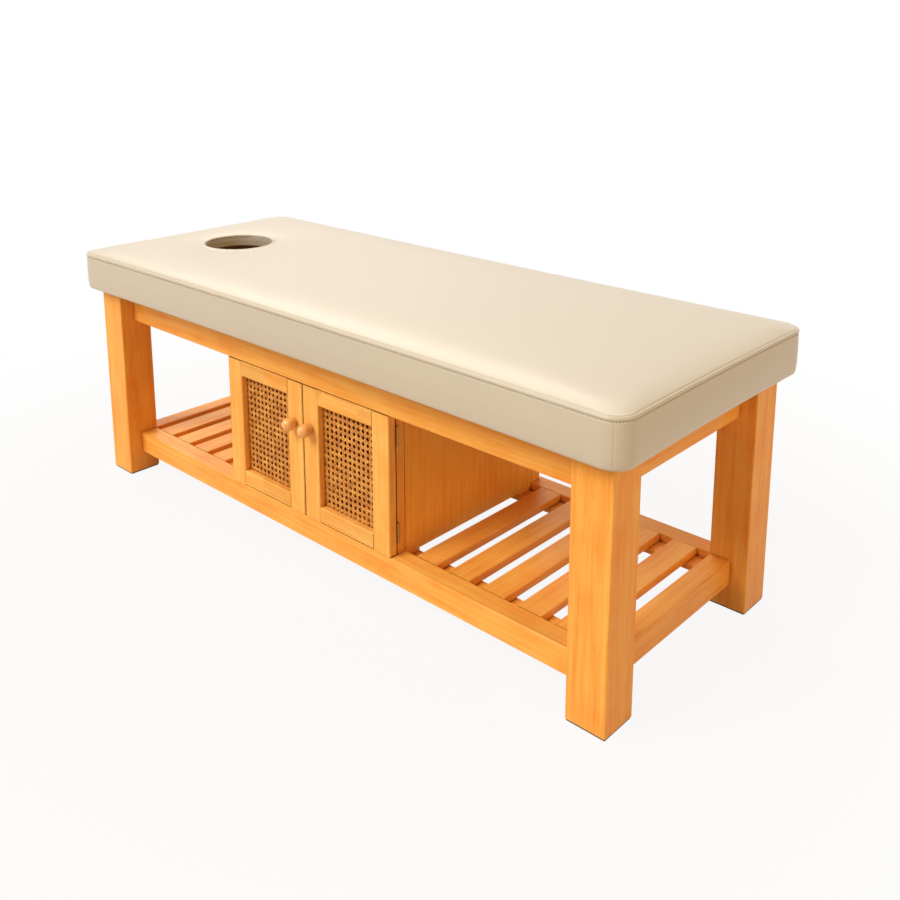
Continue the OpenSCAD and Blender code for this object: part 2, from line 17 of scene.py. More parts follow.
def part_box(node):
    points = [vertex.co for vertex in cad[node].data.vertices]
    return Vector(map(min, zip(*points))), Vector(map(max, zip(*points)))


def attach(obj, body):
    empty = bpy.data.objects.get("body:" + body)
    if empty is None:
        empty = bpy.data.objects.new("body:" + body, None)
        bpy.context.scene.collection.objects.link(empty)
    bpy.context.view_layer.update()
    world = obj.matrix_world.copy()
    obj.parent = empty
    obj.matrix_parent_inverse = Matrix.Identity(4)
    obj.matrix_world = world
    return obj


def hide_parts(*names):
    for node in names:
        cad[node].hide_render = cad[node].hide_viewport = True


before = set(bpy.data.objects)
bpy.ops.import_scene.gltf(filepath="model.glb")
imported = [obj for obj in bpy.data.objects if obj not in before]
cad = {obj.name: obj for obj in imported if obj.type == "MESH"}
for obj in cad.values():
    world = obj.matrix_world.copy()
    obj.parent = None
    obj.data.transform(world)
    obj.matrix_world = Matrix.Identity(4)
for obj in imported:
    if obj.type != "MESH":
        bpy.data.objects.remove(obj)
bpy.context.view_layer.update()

# ----------------------------------------------
# Camera. It stands off the foot end's front corner, a little above the pad, and looks level
# enough that the legs stay upright, with the view shifted down to take in the floor.
# ----------------------------------------------
def put(name, data):
    """A new object of the scene that holds a mesh, a lamp or the camera."""
    made = bpy.data.objects.new(name, data)
    bpy.context.scene.collection.objects.link(made)
    return made


camera_turn = 0.74293
camera_dip = 0.20626
lens = bpy.data.cameras.new("camera")
lens.sensor_width = 36.0
lens.lens = 40.775
lens.shift_y = -0.25
lens.clip_end = 60.0
camera = put("camera", lens)
aim = Vector((
    -math.sin(camera_turn) * math.cos(camera_dip),
    math.cos(camera_turn) * math.cos(camera_dip),
    -math.sin(camera_dip),
))
camera.location = (1.8554, -1.8060, 1.3819)
camera.rotation_euler = aim.to_track_quat("-Z", "Y").to_euler()
bpy.context.scene.camera = camera
bpy.context.scene.view_settings.view_transform = "Standard"


# ----------------------------------------------
# Studio. A white floor without an edge, a white surround, and three wide soft lights: from behind
# and above, from the doors' side, which is the bright one, and off the foot end.
# ----------------------------------------------
def linear(hex_colour, level=1.0):
    """A linear RGBA colour from an sRGB hex value such as "F0E4CC", made lighter or darker by level."""
    parts = [int(hex_colour[i:i + 2], 16) / 255 for i in (0, 2, 4)]
    return (*(level * (p / 12.92 if p <= 0.04045 else ((p + 0.055) / 1.055) ** 2.4) for p in parts), 1.0)


def add(tree, kind, sockets=(), **settings):
    """A new node of a kind, with its settings. Each socket named takes a value, or a link from an
    output or from a node's first output, or a list of such links."""
    made = tree.nodes.new(kind)
    for key, value in settings.items():
        setattr(made, key, value)
    for socket, value in dict(sockets).items():
        for given in value if isinstance(value, list) else [value]:
            if isinstance(given, bpy.types.Node):
                given = given.outputs[0]
            if isinstance(given, bpy.types.NodeSocket):
                tree.links.new(given, made.inputs[socket])
            else:
                made.inputs[socket].default_value = given
    return made


def blank_material(name):
    """A new material, its emptied node tree, and the piece's own coordinates."""
    material = bpy.data.materials.new(name)
    material.use_nodes = True
    tree = material.node_tree
    tree.nodes.clear()
    return material, tree, add(tree, "ShaderNodeTexCoord").outputs["Object"]


def seen_white(tree):
    """1 on the rays that show the studio plain white: the camera's own, and those that glass and
    gloss send on."""
    path = add(tree, "ShaderNodeLightPath")
    seen = add(tree, "ShaderNodeMath", {
        0: path.outputs["Is Camera Ray"], 1: path.outputs["Is Transmission Ray"]}, operation="MAXIMUM")
    return add(tree, "ShaderNodeMath", {0: seen, 1: path.outputs["Is Glossy Ray"]}, operation="MAXIMUM")


surround = bpy.data.worlds.new("studio")
surround.use_nodes = True
bpy.context.scene.world = surround
sky = surround.node_tree
sky.nodes.clear()
# The surround lights the object most from the doors' side, low down, as a wide wall does.
heading = add(sky, "ShaderNodeTexCoord").outputs["Generated"]
facing = add(sky, "ShaderNodeVectorMath", {0: heading, 1: (-0.22, -0.92, 0.12)}, operation="DOT_PRODUCT")
nearness = add(sky, "ShaderNodeMapRange", {
    "Value": facing.outputs["Value"], "From Min": -0.35, "From Max": 0.95}, interpolation_type="SMOOTHSTEP")
glow = add(sky, "ShaderNodeMapRange", {"Value": nearness, "To Min": 0.28, "To Max": 0.50})
warm = add(sky, "ShaderNodeMix", {
    "Factor": nearness, 6: linear("FFDBAC"), 7: linear("FFF1DF")}, data_type="RGBA")
fill = add(sky, "ShaderNodeBackground", {"Color": warm.outputs[2], "Strength": glow})
white = add(sky, "ShaderNodeBackground", {"Color": (1, 1, 1, 1), "Strength": 1.0})
shown = add(sky, "ShaderNodeMixShader", {0: seen_white(sky), 1: fill, 2: white})
add(sky, "ShaderNodeOutputWorld", {"Surface": shown})


def soft_sun(name, source, spread, strength, tone="FFFFFF"):
    """Even light from far off: source is the way to it from the object, and spread its width in degrees."""
    lamp = bpy.data.lights.new(name, "SUN")
    lamp.angle = math.radians(spread)
    lamp.energy = strength
    lamp.color = linear(tone)[:3]
    put(name, lamp).rotation_euler = (-Vector(source)).to_track_quat("-Z", "Y").to_euler()


soft_sun("top_light", (-0.60, 0.42, 0.68), 40.0, 1.12, tone="FFF9EF")
soft_sun("front_light", (-0.28, -0.70, 0.70), 34.0, 2.32)
soft_sun("end_light", (0.86, 0.06, 0.50), 40.0, 0.82, tone="FFDDA8")

floor_reach = 30.0
floor_mesh = bpy.data.meshes.new("floor")
floor_corners = ((-1, -1), (1, -1), (1, 1), (-1, 1))
floor_mesh.from_pydata([(x * floor_reach, y * floor_reach, 0) for x, y in floor_corners], [], [(0, 1, 2, 3)])
floor = put("floor", floor_mesh)
# It shows white, turning to plain white away from the object so that no horizon shows, and it sends
# back the warm light that reaches the object's shaded faces.
paper, tree, place = blank_material("white_studio_floor")
matte = add(tree, "ShaderNodeBsdfDiffuse", {"Color": linear("CFC0AC")})
glow = add(tree, "ShaderNodeEmission", {"Color": (1, 1, 1, 1), "Strength": 1.0})
reach = add(tree, "ShaderNodeVectorMath", {0: place}, operation="LENGTH")
fade = add(tree, "ShaderNodeMapRange", {
    "Value": reach.outputs["Value"], "From Min": 0.9, "From Max": 2.2, "To Min": 0.91, "To Max": 1.0},
    interpolation_type="SMOOTHSTEP")
share = add(tree, "ShaderNodeMath", {0: seen_white(tree), 1: fade}, operation="MULTIPLY")
both = add(tree, "ShaderNodeMixShader", {0: share, 1: matte, 2: glow})
add(tree, "ShaderNodeOutputMaterial", {"Surface": both})
floor_mesh.materials.append(paper)


# ----------------------------------------------
# Legs, aprons, rails, ledgers, slats, posts and bearers. Plantation hardwood, sawn and planed, stained
# honey orange and finished with satin lacquer. The grain of each piece runs along it.
# ----------------------------------------------
grain_turn = {"x": (0, 0, 0), "y": (0, 0, -math.pi / 2), "z": (0, math.pi / 2, 0)}


def lacquered_timber(name, grain, seed, pale="FFBD5B", deep="F49636", stave=0.0, roughness=0.40,
                     coat=0.04):
    """Stained, lacquered hardwood: growth bands and fibre streaks drawn out along one axis, clouds of
    stain, short pores, staves of slightly different tone where stave, their length, is set, and
    painted shade, deep brown, near joints, in gaps and in recesses."""
    material, tree, place = blank_material(name)
    dice = random.Random(seed)
    # The grain is turned to lie along the texture's X, and each piece is cut from its own place in
    # the log.
    turned = add(tree, "ShaderNodeMapping", {
        "Vector": place,
        "Rotation": grain_turn[grain],
        "Location": (dice.uniform(-3, 3), dice.uniform(-3, 3), dice.uniform(-3, 3)),
    })
    if stave > 0:
        along = add(tree, "ShaderNodeSeparateXYZ", {"Vector": turned}).outputs["X"]
        count = add(tree, "ShaderNodeMath", {0: along, 1: stave}, operation="DIVIDE")
        number = add(tree, "ShaderNodeMath", {0: count}, operation="FLOOR")
        tone = add(tree, "ShaderNodeTexWhiteNoise", {"W": number}, noise_dimensions="1D")
        shift = add(tree, "ShaderNodeVectorMath", {0: tone.outputs["Color"], "Scale": 0.6}, operation="SCALE")
        turned = add(tree, "ShaderNodeVectorMath", {0: turned, 1: shift}, operation="ADD")
    # Growth bands some 25 mm wide that wander over 300 mm of length.
    drawn = add(tree, "ShaderNodeMapping", {"Vector": turned, "Scale": (0.09, 1, 1)})
    bands = add(tree, "ShaderNodeTexNoise", {
        "Vector": drawn, "Scale": 34.0, "Detail": 2.0, "Roughness": 0.5, "Distortion": 0.7})
    # Fibre streaks from 6 mm down to 0.2 mm wide, coarser than the real fibres so that they show.
    fibre = add(tree, "ShaderNodeMapping", {"Vector": turned, "Scale": (0.022, 1, 1)})
    streaks = add(tree, "ShaderNodeTexNoise", {
        "Vector": fibre, "Scale": 165.0, "Detail": 5.0, "Roughness": 0.72})
    # Clouds of stain some 80 mm across.
    clouds = add(tree, "ShaderNodeTexNoise", {
        "Vector": turned, "Scale": 12.0, "Detail": 3.0, "Roughness": 0.55})
    banded = add(tree, "ShaderNodeMath", {0: bands, 1: 0.62}, operation="MULTIPLY")
    streaked = add(tree, "ShaderNodeMath", {0: streaks, 1: 1.2, 2: banded}, operation="MULTIPLY_ADD")
    clouded = add(tree, "ShaderNodeMath", {0: clouds, 1: 0.45, 2: streaked}, operation="MULTIPLY_ADD")
    tint = add(tree, "ShaderNodeMapRange", {"Value": clouded, "From Min": 0.90, "From Max": 1.42})
    level = 1 + dice.uniform(-0.035, 0.035)
    colour = add(tree, "ShaderNodeMix", {
        "Factor": tint, 6: linear(pale, level), 7: linear(deep, level)}, data_type="RGBA").outputs[2]
    if stave > 0:
        shade = add(tree, "ShaderNodeMapRange", {"Value": tone, "To Min": 0.93, "To Max": 1.05})
        colour = add(tree, "ShaderNodeVectorMath", {0: colour, "Scale": shade}, operation="SCALE")
    # Open pores: dark dashes up to 2 mm wide, wider than the real ones so that they show.
    pores_at = add(tree, "ShaderNodeMapping", {"Vector": turned, "Scale": (0.12, 1, 1)})
    pores = add(tree, "ShaderNodeTexVoronoi", {"Vector": pores_at, "Scale": 130.0})
    dash = add(tree, "ShaderNodeMapRange", {
        "Value": pores, "From Min": 0.03, "From Max": 0.14, "To Min": 0.80, "To Max": 1.0})
    pored = add(tree, "ShaderNodeVectorMath", {0: colour, "Scale": dash}, operation="SCALE")
    # Painted shade: within some 13 mm of joints, gaps and recesses, ambient occlusion darkens the colour
    # toward deep brown, standing in for the shade and warm bounce light there.
    crevice_occlusion = add(tree, "ShaderNodeAmbientOcclusion", {"Distance": 0.013}, samples=8)
    painted_crevice_shade = add(tree, "ShaderNodeMapRange", {
        "Value": crevice_occlusion.outputs["AO"], "From Min": 0.12, "From Max": 0.66, "To Min": 0.88, "To Max": 0.0})
    wood_and_painted_shade = add(tree, "ShaderNodeMix", {
        "Factor": painted_crevice_shade, 6: pored, 7: linear("4E2206")}, data_type="RGBA")
    gloss = add(tree, "ShaderNodeMapRange", {
        "Value": streaks, "To Min": roughness - 0.06, "To Max": roughness + 0.08})
    relief = add(tree, "ShaderNodeMath", {0: streaks, 1: 0.4, 2: dash}, operation="MULTIPLY_ADD")
    bump = add(tree, "ShaderNodeBump", {"Height": relief, "Strength": 0.25, "Distance": 0.0003})
    surface = add(tree, "ShaderNodeBsdfPrincipled", {
        "Base Color": wood_and_painted_shade.outputs[2], "Roughness": gloss, "Normal": bump, "IOR": 1.42,
        "Specular IOR Level": 0.2, "Coat Weight": coat, "Coat Roughness": 0.20})
    add(tree, "ShaderNodeOutputMaterial", {"Surface": surface})
    return material


def finish_node(name, material):
    """A CAD node keeps its shape and takes a finish in all its slots."""
    for held in cad[name].material_slots:
        held.material = material


timber_grain = {
    "z": ["leg_front_head", "leg_front_foot", "leg_back_head", "leg_back_foot",
          "front_post_left", "front_post_right", "rear_post_left", "rear_post_right"],
    "x": ["apron_front", "apron_back", "rail_front", "rail_back", "ledger_front", "ledger_back",
          "door_stop_rail"],
    "y": ["apron_head", "apron_foot", "rail_head", "rail_foot", "bearers"]
         + [f"slat_{bay}_{i}" for bay in ("head", "foot") for i in range(1, 6)],
}
seed = 1
for grain, names in timber_grain.items():
    for name in names:
        finish_node(name, lacquered_timber(f"lacquered_hardwood_{name}", grain, seed))
        seed += 1

# ----------------------------------------------
# Side panels, floor board and back of the cabinet. Veneered plywood with the same stain, a little
# deeper; the veneer stands upright on the cabinet's sides.
# ----------------------------------------------
veneer = {"side_panel_left": "z", "side_panel_right": "z", "back_panel": "z", "cabinet_floor": "x"}
for name, grain in veneer.items():
    finish_node(name, lacquered_timber(
        f"veneered_plywood_{name}", grain, seed, pale="FFC157", deep="F79A33", roughness=0.46))
    seed += 1
# The board in the pad's underside and the collar that lines the lower part of the face hole are
# stained dark brown.
finish_node("mattress_board", lacquered_timber(
    "dark_stained_plywood", "x", seed, pale="4E3010", deep="301A06", roughness=0.5))
seed += 1


# ----------------------------------------------
# Glide pads under the legs, and the catches' housings. Moulded dark brown nylon and ABS with a
# fine matte skin.
# ----------------------------------------------
def moulded_plastic(name, tone, roughness):
    """Matte moulded plastic with a faint moulded texture."""
    material, tree, place = blank_material(name)
    skin = add(tree, "ShaderNodeTexNoise", {"Vector": place, "Scale": 900.0, "Detail": 2.0})
    bump = add(tree, "ShaderNodeBump", {"Height": skin, "Strength": 0.2, "Distance": 0.0002})
    mottle = add(tree, "ShaderNodeTexNoise", {"Vector": place, "Scale": 60.0, "Detail": 3.0})
    colour = add(tree, "ShaderNodeMix", {
        "Factor": mottle, 6: linear(tone, 0.8), 7: linear(tone, 1.25)}, data_type="RGBA")
    surface = add(tree, "ShaderNodeBsdfPrincipled", {
        "Base Color": colour.outputs[2], "Normal": bump, "IOR": 1.53, "Roughness": roughness})
    add(tree, "ShaderNodeOutputMaterial", {"Surface": surface})
    return material


finish_node("foot_pads", moulded_plastic("moulded_nylon_glide", "241910", 0.65))
finish_node("magnetic_catches", moulded_plastic("moulded_abs_catch", "4A3524", 0.45))

# ----------------------------------------------
# Door frames. Solid hardwood stiles and rails, tenoned together; each rail is jointed from short
# staves of different tone, and the beads behind the cane are of the same wood.
# ----------------------------------------------
stave_length = 0.13
door_grain = {"hinge_stile": "z", "lock_stile": "z", "top_rail": "x", "bottom_rail": "x", "cane_beads": "z"}
for side in ("left", "right"):
    for part, grain in door_grain.items():
        finish_node(f"{side}_{part}", lacquered_timber(
            f"lacquered_hardwood_{side}_{part}", grain, seed, pale="FEC469", deep="F2A141",
            stave=stave_length if part.endswith("rail") else 0.0))
        seed += 1


# ----------------------------------------------
# Knobs. Turned from the same hardwood and polished: a ball on a short neck with a small foot
# against the stile.
# ----------------------------------------------
def spun(profile, centre, axis_y, steps=40):
    """A closed shape of revolution about a line along Y. The profile is (distance, radius) pairs from
    one pole to the other, and axis_y is the sign of the way that its distances run."""
    bm = bmesh.new()
    loops = []
    for reach, radius in profile:
        y = centre[1] + axis_y * reach
        around = [2 * math.pi * i / steps for i in range(steps)] if radius > 0 else [0.0]
        loops.append([bm.verts.new((centre[0] + radius * math.cos(a), y, centre[2] + radius * math.sin(a)))
                      for a in around])
    for low, high in zip(loops, loops[1:]):
        for i in range(steps):
            j = (i + 1) % steps
            corners = [low[i % len(low)], low[j % len(low)], high[j % len(high)], high[i % len(high)]]
            bm.faces.new(list(dict.fromkeys(corners)))
    bmesh.ops.recalc_face_normals(bm, faces=bm.faces)
    for face in bm.faces:
        face.smooth = True
    return bm


ball_r = 0.0175
ball_reach = 0.0215
# The foot's rim and the neck, then the ball from where it leaves the neck to its front.
knob_profile = [(0.0, 0.0), (0.0, 0.0080), (0.0012, 0.0084), (0.0024, 0.0078), (0.0038, 0.0070),
                (0.0054, 0.0072), (0.0066, 0.0086)]
knob_profile += [(ball_reach - ball_r * math.cos(t), ball_r * math.sin(t))
                 for t in np.linspace(0.24 * math.pi, 0.985 * math.pi, 18)]
knob_profile += [(ball_reach + ball_r, 0.0)]
knob_finish = lacquered_timber(
    "turned_hardwood_knob", "y", seed, pale="FBBE70", deep="ECA050", roughness=0.30, coat=0.7)
seed += 1
for side in ("left", "right"):
    low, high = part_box(f"{side}_knob")
    bm = spun(knob_profile, ((low.x + high.x) / 2, high.y, (low.z + high.z) / 2), -1)
    mesh = bpy.data.meshes.new(f"{side}_turned_knob")
    bm.to_mesh(mesh)
    bm.free()
    mesh.materials.append(knob_finish)
    knob = put(f"{side}_turned_knob", mesh)
    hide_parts(f"{side}_knob")
    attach(knob, f"{side}_door")


# ----------------------------------------------
# Cane panels. Open webbing of split rattan: pairs of strands run up and across, and single
# strands run along both diagonals, over one pair and under the other, round eight-sided holes.
# ----------------------------------------------
def split_rattan():
    """Split rattan skin: golden straw, satin along the strand, with darker nodes and edges."""
    material, tree, place = blank_material("split_rattan")
    # Patches of colour some 17 mm across, and fibres of 0.7 mm, coarser than the real ones.
    mottle = add(tree, "ShaderNodeTexNoise", {
        "Vector": place, "Scale": 60.0, "Detail": 4.0, "Roughness": 0.7})
    colour = add(tree, "ShaderNodeValToRGB", {"Fac": mottle})
    ramp = colour.color_ramp.elements
    ramp[0].position, ramp[0].color = 0.32, linear("B4651A")
    ramp[1].position, ramp[1].color = 0.68, linear("F9B450")
    fibre = add(tree, "ShaderNodeTexNoise", {"Vector": place, "Scale": 1400.0, "Detail": 2.0})
    bump = add(tree, "ShaderNodeBump", {"Height": fibre, "Strength": 0.3, "Distance": 0.0002})
    surface = add(tree, "ShaderNodeBsdfPrincipled", {
        "Base Color": colour, "Normal": bump, "Roughness": 0.5, "IOR": 1.5})
    add(tree, "ShaderNodeOutputMaterial", {"Surface": surface})
    return material


def node_group(name, inputs):
    """A Geometry Nodes tree with a geometry input and output, and named inputs for its sizes and finish."""
    group = bpy.data.node_groups.new(name, "GeometryNodeTree")
    group.interface.new_socket("Geometry", in_out="INPUT", socket_type="NodeSocketGeometry")
    for label, kind in inputs.items():
        group.interface.new_socket(label, in_out="INPUT", socket_type="NodeSocket" + kind)
    group.interface.new_socket("Geometry", in_out="OUTPUT", socket_type="NodeSocketGeometry")
    return group, add(group, "NodeGroupInput"), add(group, "NodeGroupOutput")


def evaluated_mesh(piece):
    """The mesh that a piece's modifiers make of it."""
    return bpy.data.meshes.new_from_object(piece.evaluated_get(bpy.context.evaluated_depsgraph_get()))


def grown(name, base, group, inputs):
    """The plain mesh that a Geometry Nodes tree makes from a base mesh, with its inputs set by name."""
    piece = put(name + "_base", base)
    modifier = piece.modifiers.new("grow", "NODES")
    modifier.node_group = group
    for item in group.interface.items_tree:
        if item.in_out == "INPUT" and item.name in inputs:
            modifier[item.identifier] = inputs[item.name]
    bpy.context.view_layer.update()
    mesh = evaluated_mesh(piece)
    bpy.data.objects.remove(piece)
    mesh.name = name
    return put(name, mesh)


def cane_weave_tree():
    """Cane webbing round a single point, in the XZ plane, its thickness along Y."""
    sizes = ("Width", "Height", "Pitch", "Pair spread", "Strand width", "Strand thickness", "Unevenness")
    group, given, out = node_group("cane_weave", {**dict.fromkeys(sizes, "Float"), "Finish": "Material"})
    width, height, pitch, spread, strand_w, strand_t, uneven = (given.outputs[s] for s in sizes)
    rib = add(group, "GeometryNodeCurvePrimitiveCircle", {"Resolution": 6, "Radius": 0.5}, mode="RADIUS")
    flat = add(group, "ShaderNodeCombineXYZ", {"X": strand_t, "Y": strand_w, "Z": 1.0})
    rib = add(group, "GeometryNodeTransform", {"Geometry": rib, "Scale": flat})
    place = add(group, "GeometryNodeInputPosition")
    xyz = add(group, "ShaderNodeSeparateXYZ", {"Vector": place})
    # Lattice lines: the pairs that run up lie on whole pitches, those that run across on half ones.
    u, v = (add(group, "ShaderNodeMath", {0: xyz.outputs[axis], 1: pitch}, operation="DIVIDE")
            for axis in "XZ")
    v = add(group, "ShaderNodeMath", {0: v, 1: 0.5}, operation="SUBTRACT")
    half_w, half_h = (add(group, "ShaderNodeMath", {0: side, 1: 0.5}, operation="MULTIPLY")
                      for side in (width, height))
    # Hand weaving leaves each strand a little off its line.
    wander = add(group, "ShaderNodeTexNoise", {"Vector": place, "Scale": 70.0, "Detail": 1.0})
    wander = add(group, "ShaderNodeVectorMath", {
        0: wander.outputs["Color"], 1: (0.5, 0.5, 0.5)}, operation="SUBTRACT")
    wander = add(group, "ShaderNodeVectorMath", {0: wander, "Scale": uneven}, operation="SCALE")

    def strands(curves, turns, rise):
        """Flat strands along curves, which go over and under with a cosine of half their turns."""
        swing = add(group, "ShaderNodeMath", {0: turns, 1: math.pi}, operation="MULTIPLY")
        swing = add(group, "ShaderNodeMath", {0: swing}, operation="COSINE")
        lift = add(group, "ShaderNodeMath", {0: strand_t, 1: rise}, operation="MULTIPLY")
        depth = add(group, "ShaderNodeMath", {0: swing, 1: lift}, operation="MULTIPLY")
        offset = add(group, "ShaderNodeCombineXYZ", {"Y": depth})
        offset = add(group, "ShaderNodeVectorMath", {0: offset, 1: wander}, operation="ADD")
        moved = add(group, "GeometryNodeSetPosition", {"Geometry": curves, "Offset": offset})
        facing = add(group, "GeometryNodeSetCurveNormal", {
            "Curve": moved, "Normal": (0.0, 1.0, 0.0)}, mode="FREE")
        return add(group, "GeometryNodeCurveToMesh", {
            "Curve": facing, "Profile Curve": rib, "Fill Caps": True})

    def line_to(end, parts):
        """A straight line to a point from the one opposite, with so many steps to a pitch."""
        end = add(group, "ShaderNodeCombineXYZ", end)
        start = add(group, "ShaderNodeVectorMath", {0: end, "Scale": -1.0}, operation="SCALE")
        line = add(group, "GeometryNodeCurvePrimitiveLine", {"Start": start, "End": end})
        step = add(group, "ShaderNodeMath", {0: pitch, 1: parts}, operation="DIVIDE")
        return add(group, "GeometryNodeResampleCurve", {"Curve": line, "Length": step}, mode="LENGTH")

    def repeated(line, axis, gaps, shift=0.0):
        """Copies of a line, one pitch apart along an axis, moved by a share of the pairs' spread."""
        count = add(group, "ShaderNodeMath", {0: gaps, 1: 1.0}, operation="ADD")
        first = add(group, "ShaderNodeMath", {0: gaps, 1: pitch}, operation="MULTIPLY")
        first = add(group, "ShaderNodeMath", {0: first, 1: -0.5}, operation="MULTIPLY")
        first = add(group, "ShaderNodeMath", {0: spread, 1: shift, 2: first}, operation="MULTIPLY_ADD")
        begin = add(group, "ShaderNodeCombineXYZ", {axis: first})
        stride = add(group, "ShaderNodeCombineXYZ", {axis: pitch})
        points = add(group, "GeometryNodeMeshLine", {
            "Count": count, "Start Location": begin, "Offset": stride}, mode="OFFSET")
        return add(group, "GeometryNodeRealizeInstances", {
            "Geometry": add(group, "GeometryNodeInstanceOnPoints", {"Points": points, "Instance": line})})

    def pairs(upright):
        """Pairs of straight strands at every lattice line of one direction."""
        half, span = (half_h, width) if upright else (half_w, height)
        axis, across = ("Z", "X") if upright else ("X", "Z")
        line = line_to({axis: half}, 6.0)
        gaps = add(group, "ShaderNodeMath", {0: span, 1: pitch}, operation="DIVIDE")
        gaps = add(group, "ShaderNodeMath", {0: gaps}, operation="ROUND")
        both = add(group, "GeometryNodeJoinGeometry", {
            "Geometry": [repeated(line, across, gaps, shift) for shift in (-0.5, 0.5)]})
        nearest = add(group, "ShaderNodeMath", {0: u if upright else v}, operation="ROUND")
        turns = add(group, "ShaderNodeMath", {0: v if upright else u, 1: nearest}, operation="ADD")
        return strands(both, turns, 0.5 if upright else -0.5)

    def diagonals(slope):
        """Single strands along one diagonal, cut off at the panel's edges."""
        half = add(group, "ShaderNodeMath", {0: half_w, 1: half_h}, operation="ADD")
        climb = add(group, "ShaderNodeMath", {0: half, 1: slope}, operation="MULTIPLY")
        line = line_to({"X": half, "Z": climb}, 5.6)
        gaps = add(group, "ShaderNodeMath", {0: half, 1: pitch}, operation="DIVIDE")
        gaps = add(group, "ShaderNodeMath", {0: gaps}, operation="CEIL")
        gaps = add(group, "ShaderNodeMath", {0: gaps, 1: 2.0}, operation="MULTIPLY")
        out_x = add(group, "ShaderNodeMath", {0: xyz.outputs["X"]}, operation="ABSOLUTE")
        out_x = add(group, "ShaderNodeMath", {0: out_x, 1: half_w}, operation="GREATER_THAN")
        out_z = add(group, "ShaderNodeMath", {0: xyz.outputs["Z"]}, operation="ABSOLUTE")
        out_z = add(group, "ShaderNodeMath", {0: out_z, 1: half_h}, operation="GREATER_THAN")
        beyond = add(group, "ShaderNodeMath", {0: out_x, 1: out_z}, operation="MAXIMUM")
        cut = add(group, "GeometryNodeDeleteGeometry", {
            "Geometry": repeated(line, "X", gaps), "Selection": beyond}, domain="POINT")
        turns = add(group, "ShaderNodeMath", {0: u, 1: 2.0}, operation="MULTIPLY")
        return strands(cut, turns, -slope)

    woven = add(group, "GeometryNodeJoinGeometry", {
        "Geometry": [pairs(True), pairs(False), diagonals(1), diagonals(-1)]})
    smooth = add(group, "GeometryNodeSetShadeSmooth", {"Geometry": woven})
    real = add(group, "GeometryNodeRealizeInstances", {"Geometry": smooth})
    finished = add(group, "GeometryNodeSetMaterial", {"Geometry": real, "Material": given.outputs["Finish"]})
    group.links.new(finished.outputs[0], out.inputs[0])
    return group


cane_tree = cane_weave_tree()
cane_sizes = {"Pitch": 0.016, "Pair spread": 0.0036, "Strand width": 0.0032, "Strand thickness": 0.0009,
              "Unevenness": 0.0012, "Finish": split_rattan()}
cane_margin = 0.001
point = bpy.data.meshes.new("cane_point")
point.from_pydata([(0, 0, 0)], [], [])
for side in ("left", "right"):
    low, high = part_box(f"{side}_cane_panel")
    cane = grown(f"{side}_cane_webbing", point, cane_tree, {
        **cane_sizes, "Width": high.x - low.x - cane_margin, "Height": high.z - low.z - cane_margin})
    cane.data.transform(Matrix.Translation((low + high) / 2))
    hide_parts(f"{side}_cane_panel")
    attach(cane, f"{side}_door")


# ----------------------------------------------
# Hinges, strike plates and knob screws. Solid brass butts with loose grain from drawing, dulled by
# handling, and zinc-plated steel.
# ----------------------------------------------
def drawn_metal(name, tone, roughness):
    """Plain metal with faint drawn streaks, finger marks and patches of tarnish."""
    material, tree, place = blank_material(name)
    # Streaks of 0.8 mm, coarser than the real ones, and finger marks some 11 mm across.
    long = add(tree, "ShaderNodeMapping", {"Vector": place, "Scale": (1, 1, 0.05)})
    streaks = add(tree, "ShaderNodeTexNoise", {"Vector": long, "Scale": 1200.0, "Detail": 2.0})
    marks = add(tree, "ShaderNodeTexNoise", {"Vector": place, "Scale": 90.0, "Detail": 4.0})
    colour = add(tree, "ShaderNodeMix", {
        "Factor": marks, 6: linear(tone), 7: linear(tone, 0.72)}, data_type="RGBA")
    mixed = add(tree, "ShaderNodeMath", {0: streaks, 1: marks}, operation="MULTIPLY")
    rough = add(tree, "ShaderNodeMapRange", {
        "Value": mixed, "To Min": roughness - 0.06, "To Max": roughness + 0.2})
    surface = add(tree, "ShaderNodeBsdfPrincipled", {
        "Base Color": colour.outputs[2], "Roughness": rough, "Metallic": 1.0})
    add(tree, "ShaderNodeOutputMaterial", {"Surface": surface})
    return material


drawn_brass = drawn_metal("drawn_brass", "BC8440", 0.38)
zinc_plate = drawn_metal("zinc_plated_steel", "C4C2BD", 0.34)
# Painted shade: a dark metal for the thin seat under each screw head, standing in for the shadow in its slot
# and round its edge.
slot_painted_shade = drawn_metal("painted_shade_in_screw_slots", "3A2A18", 0.60)
for name in ("hinge_post_leaves", "hinge_pins", "left_hinge_leaves", "right_hinge_leaves"):
    finish_node(name, drawn_brass)
for side in ("left", "right"):
    finish_node(f"{side}_knob_screw", zinc_plate)
    finish_node(f"{side}_strike_plate", zinc_plate)


